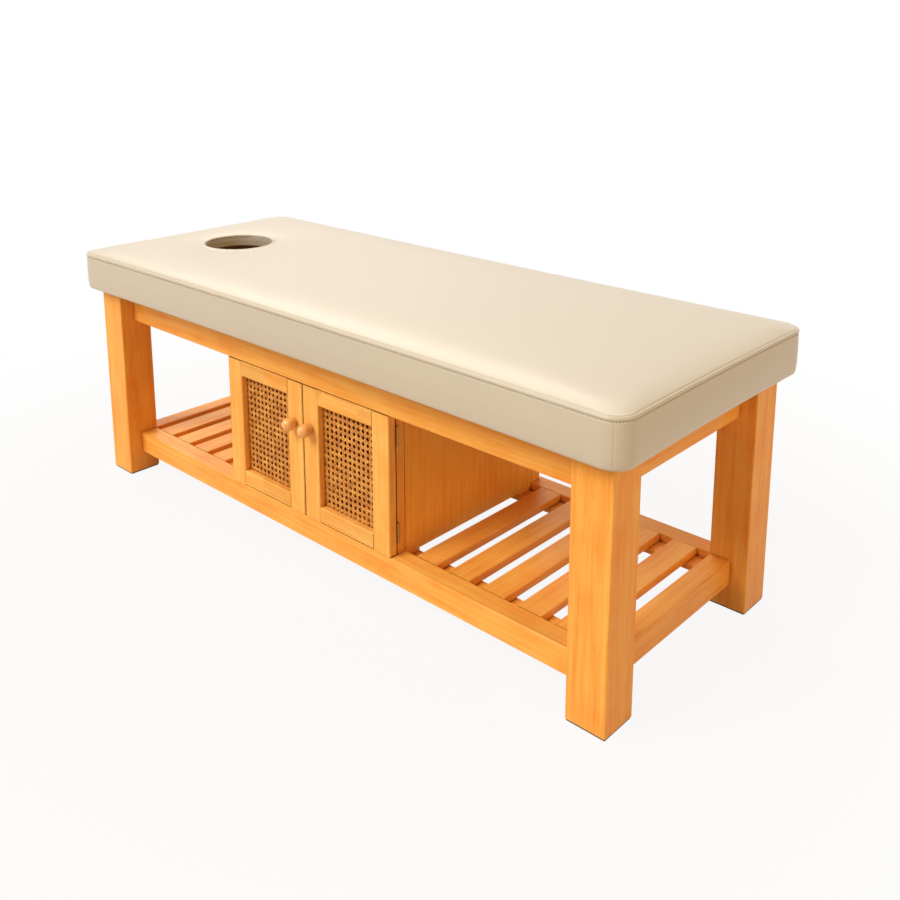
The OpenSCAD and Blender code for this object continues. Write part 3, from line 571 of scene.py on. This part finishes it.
def slotted_screw_tree():
    """The countersunk head of a slotted screw at every point of the base mesh, each slot turned its
    own way. A head stands on a thin dark seat, painted shadow that shows in its slot and round its edge."""
    group, given, out = node_group("slotted_screws", {
        "Head radius": "Float", "Slot width": "Float", "Rise": "Float", "Half turn": "Float", "Seed": "Int",
        "Finish": "Material", "Seat painted shade": "Material"})
    radius, slot, rise = (given.outputs[s] for s in ("Head radius", "Slot width", "Rise"))
    lean = add(group, "ShaderNodeMath", {0: slot, 1: radius}, operation="DIVIDE")
    lean = add(group, "ShaderNodeMath", {0: lean, 1: 0.5}, operation="MULTIPLY")
    lean = add(group, "ShaderNodeMath", {0: lean}, operation="ARCSINE")
    sweep = add(group, "ShaderNodeMath", {0: lean, 1: -2.0, 2: math.pi}, operation="MULTIPLY_ADD")
    arc = add(group, "GeometryNodeCurveArc", {
        "Resolution": 14, "Radius": radius, "Start Angle": lean, "Sweep Angle": sweep}, mode="RADIUS")
    ring = add(group, "GeometryNodeSetSplineCyclic", {"Geometry": arc, "Cyclic": True})
    half = add(group, "GeometryNodeFillCurve", {"Curve": ring}, mode="NGONS")
    seat_r = add(group, "ShaderNodeMath", {0: radius, 1: 1.12}, operation="MULTIPLY")
    seat = add(group, "GeometryNodeCurvePrimitiveCircle", {"Resolution": 24, "Radius": seat_r}, mode="RADIUS")
    seat = add(group, "GeometryNodeFillCurve", {"Curve": seat}, mode="NGONS")

    def plate(disc, thickness):
        """A flat face made a closed plate that stands up from the ground."""
        up = add(group, "ShaderNodeCombineXYZ", {"Z": thickness})
        top = add(group, "GeometryNodeExtrudeMesh", {
            "Mesh": disc, "Offset": up, "Offset Scale": 1.0, "Individual": False}, mode="FACES")
        under = add(group, "GeometryNodeFlipFaces", {"Mesh": disc})
        shell = add(group, "GeometryNodeJoinGeometry", {"Geometry": [top, under]})
        return add(group, "GeometryNodeMergeByDistance", {"Geometry": shell, "Distance": 0.000001})

    spin = add(group, "FunctionNodeRandomValue", {
        2: 0.0, 3: math.pi, "Seed": given.outputs["Seed"]}, data_type="FLOAT").outputs[1]
    turn = add(group, "ShaderNodeCombineXYZ", {"Y": spin, "Z": given.outputs["Half turn"]})

    def driven(part, finish):
        """A part of the screw at every point, facing out of the metal, in one of the two finishes."""
        part = add(group, "GeometryNodeTransform", {"Geometry": part, "Rotation": (-math.pi / 2, 0, 0)})
        placed = add(group, "GeometryNodeInstanceOnPoints", {
            "Points": given.outputs["Geometry"], "Instance": part, "Rotation": turn})
        real = add(group, "GeometryNodeRealizeInstances", {"Geometry": placed})
        return add(group, "GeometryNodeSetMaterial", {"Geometry": real, "Material": given.outputs[finish]})

    half = plate(half, rise)
    other = add(group, "GeometryNodeTransform", {"Geometry": half, "Rotation": (0, 0, math.pi)})
    head = add(group, "GeometryNodeJoinGeometry", {"Geometry": [half, other]})
    thin = add(group, "ShaderNodeMath", {0: rise, 1: 0.25}, operation="MULTIPLY")
    screws = add(group, "GeometryNodeJoinGeometry", {
        "Geometry": [driven(head, "Finish"), driven(plate(seat, thin), "Seat painted shade")]})
    group.links.new(screws.outputs[0], out.inputs[0])
    return group


# Each leaf has three staggered screws, and each strike plate has two.
screw_tree = slotted_screw_tree()
screw_sizes = {"Slot width": 0.0007, "Rise": 0.00006, "Seat painted shade": slot_painted_shade}
hinge_screw_r, strike_screw_r = 0.0025, 0.0021
knuckle_y = sum(corner.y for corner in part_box("left_hinge_leaves")) / 2
leaf_gap, leaf_w = 0.0001, 0.020
leaf_screws = ((0.007, 0.0035), (0.025, -0.0035), (0.043, 0.0035))
post_points = []
for side, inward in (("left", -1), ("right", 1)):
    low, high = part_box(f"{side}_hinge_leaves")
    middle = (high.x if side == "left" else low.x) + inward * leaf_w / 2
    leaf_points = [(middle + inward * shift, z)
                   for climb, shift in leaf_screws for z in (low.z + climb, high.z - climb)]
    post_points += [(x, knuckle_y + leaf_gap, z) for x, z in leaf_points]
    low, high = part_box(f"{side}_strike_plate")
    strike_points = [((low.x + high.x) / 2 + shift, high.y, (low.z + high.z) / 2)
                     for shift in (-0.014, 0.014)]
    for what, points, radius, finish, slot in (
            ("hinge", [(x, knuckle_y - leaf_gap, z) for x, z in leaf_points], hinge_screw_r, drawn_brass,
             "brass"),
            ("strike", strike_points, strike_screw_r, zinc_plate, "steel")):
        spots = bpy.data.meshes.new(f"{side}_{what}_points")
        spots.from_pydata(points, [], [])
        screws = grown(f"{side}_{what}_screws", spots, screw_tree, {
            **screw_sizes, "Head radius": radius, "Half turn": 0.0, "Seed": 7, "Finish": finish})
        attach(screws, f"{side}_door")
spots = bpy.data.meshes.new("post_screw_points")
spots.from_pydata(post_points, [], [])
screws = grown("post_hinge_screws", spots, screw_tree, {
    **screw_sizes, "Head radius": hinge_screw_r, "Half turn": math.pi, "Seed": 11, "Finish": drawn_brass})
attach(screws, "frame")


# ----------------------------------------------
# Mattress. Firm foam in cream synthetic leather: a boxed band and a top panel are sewn together
# round the edge, with a row of topstitching below the seam, and a sleeve lines the face hole.
# ----------------------------------------------
pad_l, pad_w = 1.900, 0.750
pad_z = 0.5763
corner_r = 0.048
side_draw, end_draw = 0.008, 0.004
side_steps, end_steps = 216, 80
top_seam_rise, top_seam_in = 0.1073, 0.0066
shoulder_rise, shoulder_run = 0.0080, 0.016
crown_rise, crown_run = 0.0016, 0.080
dish_drop, dish_run = 0.0042, 0.020
rim_rise, rim_out, rim_run = 0.0034, 0.0058, 0.0040
uneven_rise, uneven_size = 0.0007, 0.21
hole = np.array((-0.680, 0.0))
hole_r = 0.100
roll_r = 0.0045
lining_rise = 0.0820
collar_r = 0.1063
board_in = 0.0237
board_t = 0.0153
# The steps round a corner, as shares of its quarter turn. They crowd at the band's sewn seam, which
# lies a third of the way round from the long side.
seam_share = 0.35
corner_steps = [0, 0.09, 0.17, 0.24, 0.295, 0.325, 0.338, seam_share, 0.362, 0.375, 0.405, 0.46, 0.54, 0.63,
                0.72, 0.81, 0.90]
corner_steps_back = [0] + [1 - t for t in reversed(corner_steps[1:])]
off_corner = 9.0


def pad_outline():
    """Points round the pad's outline, anticlockwise from the foot end's back corner, each with its
    outward normal and its distance from a corner seam, in shares of a quarter turn, or off_corner."""
    a, b = pad_l / 2 - corner_r, pad_w / 2 - corner_r
    points = []
    for q, (sx, sy) in enumerate(((1, 1), (-1, 1), (-1, -1), (1, -1))):
        from_long_side = q % 2 == 1
        seam = seam_share if from_long_side else 1 - seam_share
        for t in corner_steps if from_long_side else corner_steps_back:
            turn = math.pi / 2 * (q + t)
            points.append((sx * a + corner_r * math.cos(turn), sy * b + corner_r * math.sin(turn), t - seam))
        steps = end_steps if from_long_side else side_steps
        for i in range(steps):
            u = 1 - 2 * i / steps
            draw = (end_draw if from_long_side else side_draw) * (1 - u * u)
            x, y = (-a - corner_r + draw, b * u) if from_long_side else (a * u, b + corner_r - draw)
            points.append((x, y, off_corner) if q < 2 else (-x, -y, off_corner))
    flat = np.array([p[:2] for p in points])
    along = np.roll(flat, -1, 0) - np.roll(flat, 1, 0)
    normals = np.stack([along[:, 1], -along[:, 0]], 1)
    return flat, normals / np.linalg.norm(normals, axis=1)[:, None], np.array([p[2] for p in points])


def edge_distance(points):
    """How far each point lies inside the outline, by level lines whose corners grow rounder inwards."""
    x, y = np.abs(points[:, 0]), np.abs(points[:, 1])
    a, b = pad_l / 2 - corner_r, pad_w / 2 - corner_r
    dx = pad_l / 2 - end_draw * (1 - np.clip(y / b, 0, 1) ** 2) - x
    dy = pad_w / 2 - side_draw * (1 - np.clip(x / a, 0, 1) ** 2) - y
    d = np.minimum(dx, dy)
    for _ in range(40):
        r = corner_r + 2.2 * d
        d = 0.5 * d + 0.5 * (r - np.hypot(np.maximum(0, r - dx), np.maximum(0, r - dy)))
    return d


def past_hole(points):
    """How far each point lies outside the face hole's edge."""
    return np.hypot(points[:, 0] - hole[0], points[:, 1] - hole[1]) - hole_r


def top_height(points):
    """Height of the top panel: a round shoulder up from the seam, a low crown, a dish round the face
    hole with a rolled rim inside it, and slight unevenness."""
    d = edge_distance(points) - top_seam_in
    inward = np.maximum(d, 0)
    height = pad_z + top_seam_rise + shoulder_rise * (1 - np.exp(-inward / shoulder_run))
    height += crown_rise * (1 - np.exp(-inward / crown_run))
    r = past_hole(points)
    height -= dish_drop * np.exp(-np.maximum(r, 0) / dish_run)
    height += rim_rise * np.exp(-((r - rim_out) / rim_run) ** 2)
    uneven = [noise.noise(Vector((x / uneven_size, y / uneven_size, 3.1))) for x, y in points]
    return height + uneven_rise * np.clip(d / 0.05, 0, 1) * np.array(uneven)


# The corner seams run up the band between these heights. They are pressed in, and painted darker as
# shade, over these shares of a quarter turn.
band_low_mm, band_high_mm = 6, 96
corner_seam_in, corner_seam_run = 0.0006, 0.011
corner_seam_shade, corner_seam_dark_run = 0.16, 0.009
flat, normals, seam_off = pad_outline()
rows, shades, freedoms = [], [], []


def lay(points, shade=0.0, freedom=0.0):
    """One more row of the cover: its points, how dark its painted shade is in a seam or down the face
    hole's sleeve, and how freely it swells."""
    rows.append(points)
    shades.append(np.broadcast_to(shade, len(points)))
    freedoms.append(np.broadcast_to(freedom, len(points)))


def ring_row(inset_mm, height_mm):
    """A row at an even inset and height, with the corner seams pressed in."""
    inset = np.full(len(flat), inset_mm / 1000)
    if band_low_mm < height_mm < band_high_mm:
        inset += corner_seam_in * np.exp(-(seam_off / corner_seam_run) ** 2)
    return np.column_stack([flat - normals * inset[:, None], np.full(len(flat), pad_z + height_mm / 1000)])


# The band's profile from the underside to the top panel: distance in from the outline, height above
# the underside, in millimetres, and painted shade in its grooves. 97.4 is the topstitched groove; from
# there the seam allowance makes a rounded ridge up to the top panel's seam at 105.5.
band_profile = [
    (23.7, 0, 0), (17, 0, 0), (11, 0, 0), (7.2, 0.5, 0), (4.4, 1.8, 0), (2.2, 4.0, 0), (0.8, 7.0, 0),
    (0.0, 11.0, 0), (-0.7, 18, 0), (-1.3, 30, 0), (-1.7, 44, 0), (-1.8, 58, 0), (-1.6, 72, 0),
    (-1.2, 84, 0), (-0.9, 91, 0), (-0.8, 94.0, 0), (-0.5, 95.6, 0), (0.3, 96.6, 0.15), (1.0, 97.4, 0.4),
    (0.5, 98.3, 0.15), (-0.6, 99.2, 0), (-1.3, 100.5, 0), (-1.6, 102.0, 0), (-1.4, 103.6, 0),
    (-0.7, 105.0, 0), (0.5, 106.2, 0), (2.0, 106.9, 0), (3.4, 106.8, 0), (4.5, 106.1, 0.12),
    (5.2, 105.5, 0.28), (5.8, 105.9, 0.12), (6.6, 107.2, 0),
]
for inset_mm, height_mm, shade in band_profile:
    if band_low_mm < height_mm < band_high_mm:
        shade = shade + corner_seam_shade * np.exp(-(seam_off / corner_seam_dark_run) ** 2)
    lay(ring_row(inset_mm, height_mm), shade, 0.8 * max(0.0, math.sin(math.pi * (height_mm - 8) / 86)))


def lay_top(points):
    """A row of the top panel, free to swell away from its seams."""
    free = np.clip((edge_distance(points) - 0.008) / 0.030, 0, 1)
    free *= np.clip((past_hole(points) - 0.012) / 0.040, 0, 1)
    lay(np.column_stack([points, top_height(points)]), 0.0, free * free * (3 - 2 * free))


for inset in (0.0084, 0.0106, 0.0134, 0.0168, 0.0208, 0.0256, 0.0314, 0.038):
    lay_top(flat - normals * inset)
last = rows[-1][:, :2]
spokes = last - hole
spokes /= np.linalg.norm(spokes, axis=1)[:, None]
near_hole = hole + spokes * (hole_r + 0.030)
for t in np.linspace(0, 1, 44)[1:]:
    lay_top(last + (near_hole - last) * (0.25 * t + 0.75 * t * t * (3 - 2 * t)))
for beyond in (0.024, 0.019, 0.015, 0.0125, 0.0105, 0.0090, 0.0078, 0.0067, 0.0056):
    lay_top(hole + spokes * (hole_r + beyond))
# The top panel rolls into the hole and meets its gathered sleeve in a seam, and the sleeve goes down
# to the collar. The roll is painted darker as it turns down, and the sleeve and its seams darker still, as
# painted shade of the hole.
rim_height = top_height(hole + spokes * (hole_r + roll_r))
for turn in np.linspace(0, math.pi / 2, 8):
    circle = hole + spokes * (hole_r + roll_r * (1 - math.sin(turn)))
    lay(np.column_stack([circle, rim_height - roll_r * (1 - math.cos(turn))]), 0.12 * turn)
pucker_count = 44
puckers = np.sin(pucker_count * np.arctan2(spokes[:, 1], spokes[:, 0]))
# Painted shade: the sleeve's rows are coloured darker, standing in for the shade inside the face hole.
sleeve_shade = 0.33
for down, out, gather, shade in (
        (0.0012, 0.0, 0.0, 0.35), (0.0020, 0.0013, 0.3, 0.85), (0.0032, -0.0004, 0.0, 0.15),
        (0.0048, -0.0006, 0.0, 0.2), (0.0060, 0.0006, 0.3, 0.6), (0.0074, -0.0002, 0.0, sleeve_shade)):
    circle = hole + spokes * (hole_r + out + 0.001 * gather * puckers)[:, None]
    lay(np.column_stack([circle, rim_height - roll_r - down]), shade)
for rise, out in ((0.0950, 0.0002), (0.0890, 0.0005), (0.0840, 0.0002), (lining_rise, 0.0008)):
    lay(np.column_stack([hole + spokes * (hole_r + out), np.full(len(flat), pad_z + rise)]), sleeve_shade)
# The lining ends at the dark collar's top edge. Below it the foam's bore is wider and holds the
# collar, and the cover turns round the pad's edge and sits over its board.
for rise in (lining_rise, board_t):
    lay(np.column_stack([hole + spokes * collar_r, np.full(len(flat), pad_z + rise)]), sleeve_shade)
lay(np.column_stack([flat - normals * board_in, np.full(len(flat), pad_z + board_t)]))

grid = np.array(rows)
index = np.arange(grid.shape[0] * grid.shape[1]).reshape(grid.shape[:2])
beside = np.roll(index, -1, 1)
corners = np.stack([index, beside, np.roll(beside, -1, 0), np.roll(index, -1, 0)], -1)
cover = bpy.data.meshes.new("mattress_cover")
cover.from_pydata(grid.reshape(-1, 3).tolist(), [], corners.reshape(-1, 4).tolist())


def swelling(mesh, voxel, frames, most):
    """How a tight cover swells over its foam. A coarser closed copy is simulated as cloth under air
    pressure, its moves are read back at the mesh's own points, and the largest is brought down to
    most, because firm foam gives little."""
    shell = put("pad_shell", mesh.copy())
    skin = shell.modifiers.new("skin", "REMESH")
    skin.mode = "VOXEL"
    skin.voxel_size = voxel
    bpy.context.view_layer.update()
    coarse = evaluated_mesh(shell)
    shell.modifiers.clear()
    shell.data = coarse
    cloth = shell.modifiers.new("cloth", "CLOTH")
    cloth.settings.use_pressure = True
    cloth.settings.uniform_pressure_force = 4.0
    cloth.settings.effector_weights.gravity = 0.0
    cloth.settings.quality = 4
    cloth.point_cache.frame_start, cloth.point_cache.frame_end = 1, frames
    for number in range(1, frames + 1):
        bpy.context.scene.frame_set(number)
    swollen = evaluated_mesh(shell)
    bpy.context.scene.frame_set(1)
    before, after = (np.array([v.co for v in m.vertices]) for m in (coarse, swollen))
    bpy.data.objects.remove(shell)
    moves = after - before
    moves *= most / np.linalg.norm(moves, axis=1).max()
    near = KDTree(len(before))
    for i, place in enumerate(before):
        near.insert(place, i)
    near.balance()
    found = []
    for vertex in mesh.vertices:
        around = near.find_n(vertex.co, 8)
        weights = np.array([1 / (distance + voxel / 4) for _, _, distance in around])
        found.append(weights @ moves[[i for _, i, _ in around]] / weights.sum())
    return np.array(found)


freedom = np.array(freedoms).reshape(-1, 1)
swollen = grid.reshape(-1, 3) + freedom * swelling(cover, voxel=0.008, frames=10, most=0.0035)
cover.vertices.foreach_set("co", swollen.reshape(-1))
bm = bmesh.new()
bm.from_mesh(cover)
bmesh.ops.recalc_face_normals(bm, faces=bm.faces)
for face in bm.faces:
    face.smooth = True
sharp_fold = math.radians(62)
for edge in bm.edges:
    edge.smooth = edge.calc_face_angle() < sharp_fold
bm.to_mesh(cover)
bm.free()
shade_field = cover.attributes.new("shade", "FLOAT", "POINT")
shade_field.data.foreach_set("value", np.array(shades).reshape(-1))


def synthetic_leather(name, tone, seam_and_hole_shade_tone, roughness):
    """Coated fabric with an embossed grain of pebbles, a soft sheen, slight clouding, and painted
    shade in its seams and down the face hole's sleeve, which follows the cover's shade attribute."""
    material, tree, place = blank_material(name)
    cloud = add(tree, "ShaderNodeTexNoise", {"Vector": place, "Scale": 5.0, "Detail": 3.0, "Roughness": 0.55})
    colour = add(tree, "ShaderNodeMix", {
        "Factor": cloud, 6: linear(tone, 0.975), 7: linear(tone, 1.02)}, data_type="RGBA")
    shade = add(tree, "ShaderNodeAttribute", attribute_name="shade").outputs["Fac"]
    seamed = add(tree, "ShaderNodeMix", {
        "Factor": shade, 6: colour.outputs[2], 7: linear(seam_and_hole_shade_tone)}, data_type="RGBA")
    # Pebbles of 1.6 mm, about twice their real size so that they show.
    pebbles = add(tree, "ShaderNodeTexVoronoi", {
        "Vector": place, "Scale": 620.0, "Smoothness": 0.4}, feature="SMOOTH_F1")
    fine = add(tree, "ShaderNodeTexNoise", {"Vector": place, "Scale": 1500.0, "Detail": 2.0})
    relief = add(tree, "ShaderNodeMath", {0: fine, 1: 0.3, 2: pebbles}, operation="MULTIPLY_ADD")
    bump = add(tree, "ShaderNodeBump", {"Height": relief, "Strength": 0.2, "Distance": 0.0004})
    rough = add(tree, "ShaderNodeMapRange", {
        "Value": cloud, "To Min": roughness - 0.03, "To Max": roughness + 0.04})
    surface = add(tree, "ShaderNodeBsdfPrincipled", {
        "Base Color": seamed.outputs[2], "Roughness": rough, "Normal": bump, "IOR": 1.5, "Sheen Weight": 0.08,
        "Coat Weight": 0.2, "Coat Roughness": 0.28})
    add(tree, "ShaderNodeOutputMaterial", {"Surface": surface})
    return material


# The second colour is the painted shade in the seams and down the face hole.
cover.materials.append(synthetic_leather("cream_synthetic_leather", "C9BEA9", "4E3818", 0.32))
mattress = put("mattress_cover", cover)
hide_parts("mattress")
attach(mattress, "frame")


# ----------------------------------------------
# Topstitching. Bonded polyester thread in the groove below the pad's seam, sewn through the band
# and the seam allowance behind it, a stitch every 6 mm.
# ----------------------------------------------
def stitch_tree():
    """A stitch at every pitch along the base mesh's edges."""
    group, given, out = node_group("topstitch", {
        "Stitch pitch": "Float", "Stitch length": "Float", "Thread radius": "Float", "Finish": "Material"})
    radius = given.outputs["Thread radius"]
    line = add(group, "GeometryNodeMeshToCurve", {"Mesh": given.outputs["Geometry"]})
    spots = add(group, "GeometryNodeCurveToPoints", {
        "Curve": line, "Length": given.outputs["Stitch pitch"]}, mode="LENGTH")
    bead = add(group, "GeometryNodeMeshUVSphere", {"Segments": 6, "Rings": 4, "Radius": 1.0})
    bead = add(group, "GeometryNodeSetShadeSmooth", {"Geometry": bead})
    half = add(group, "ShaderNodeMath", {0: given.outputs["Stitch length"], 1: 0.5}, operation="MULTIPLY")
    size = add(group, "ShaderNodeCombineXYZ", {"X": half, "Y": radius, "Z": radius})
    lean = add(group, "FunctionNodeAlignRotationToVector", {"Vector": spots.outputs["Tangent"]}, axis="X")
    sewn = add(group, "GeometryNodeInstanceOnPoints", {
        "Points": spots, "Instance": bead, "Rotation": lean, "Scale": size})
    real = add(group, "GeometryNodeRealizeInstances", {"Geometry": sewn})
    finished = add(group, "GeometryNodeSetMaterial", {"Geometry": real, "Material": given.outputs["Finish"]})
    group.links.new(finished.outputs[0], out.inputs[0])
    return group


def bonded_thread():
    """Bonded polyester thread: twisted, slightly shiny."""
    material, tree, place = blank_material("bonded_polyester_thread")
    twist = add(tree, "ShaderNodeTexNoise", {"Vector": place, "Scale": 900.0, "Detail": 1.0})
    colour = add(tree, "ShaderNodeMix", {
        "Factor": twist, 6: linear("D8C8AA"), 7: linear("F3E8D2")}, data_type="RGBA")
    surface = add(tree, "ShaderNodeBsdfPrincipled", {
        "Base Color": colour.outputs[2], "Roughness": 0.55, "Sheen Weight": 0.2})
    add(tree, "ShaderNodeOutputMaterial", {"Surface": surface})
    return material


stitch_row = ring_row(-0.2, 97.4)
stitch_path = bpy.data.meshes.new("topstitch_path")
count = len(stitch_row)
stitch_path.from_pydata(stitch_row.tolist(), [(i, (i + 1) % count) for i in range(count)], [])
topstitch = grown("topstitching", stitch_path, stitch_tree(), {
    "Stitch pitch": 0.006, "Stitch length": 0.0036, "Thread radius": 0.0011, "Finish": bonded_thread()})
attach(topstitch, "frame")
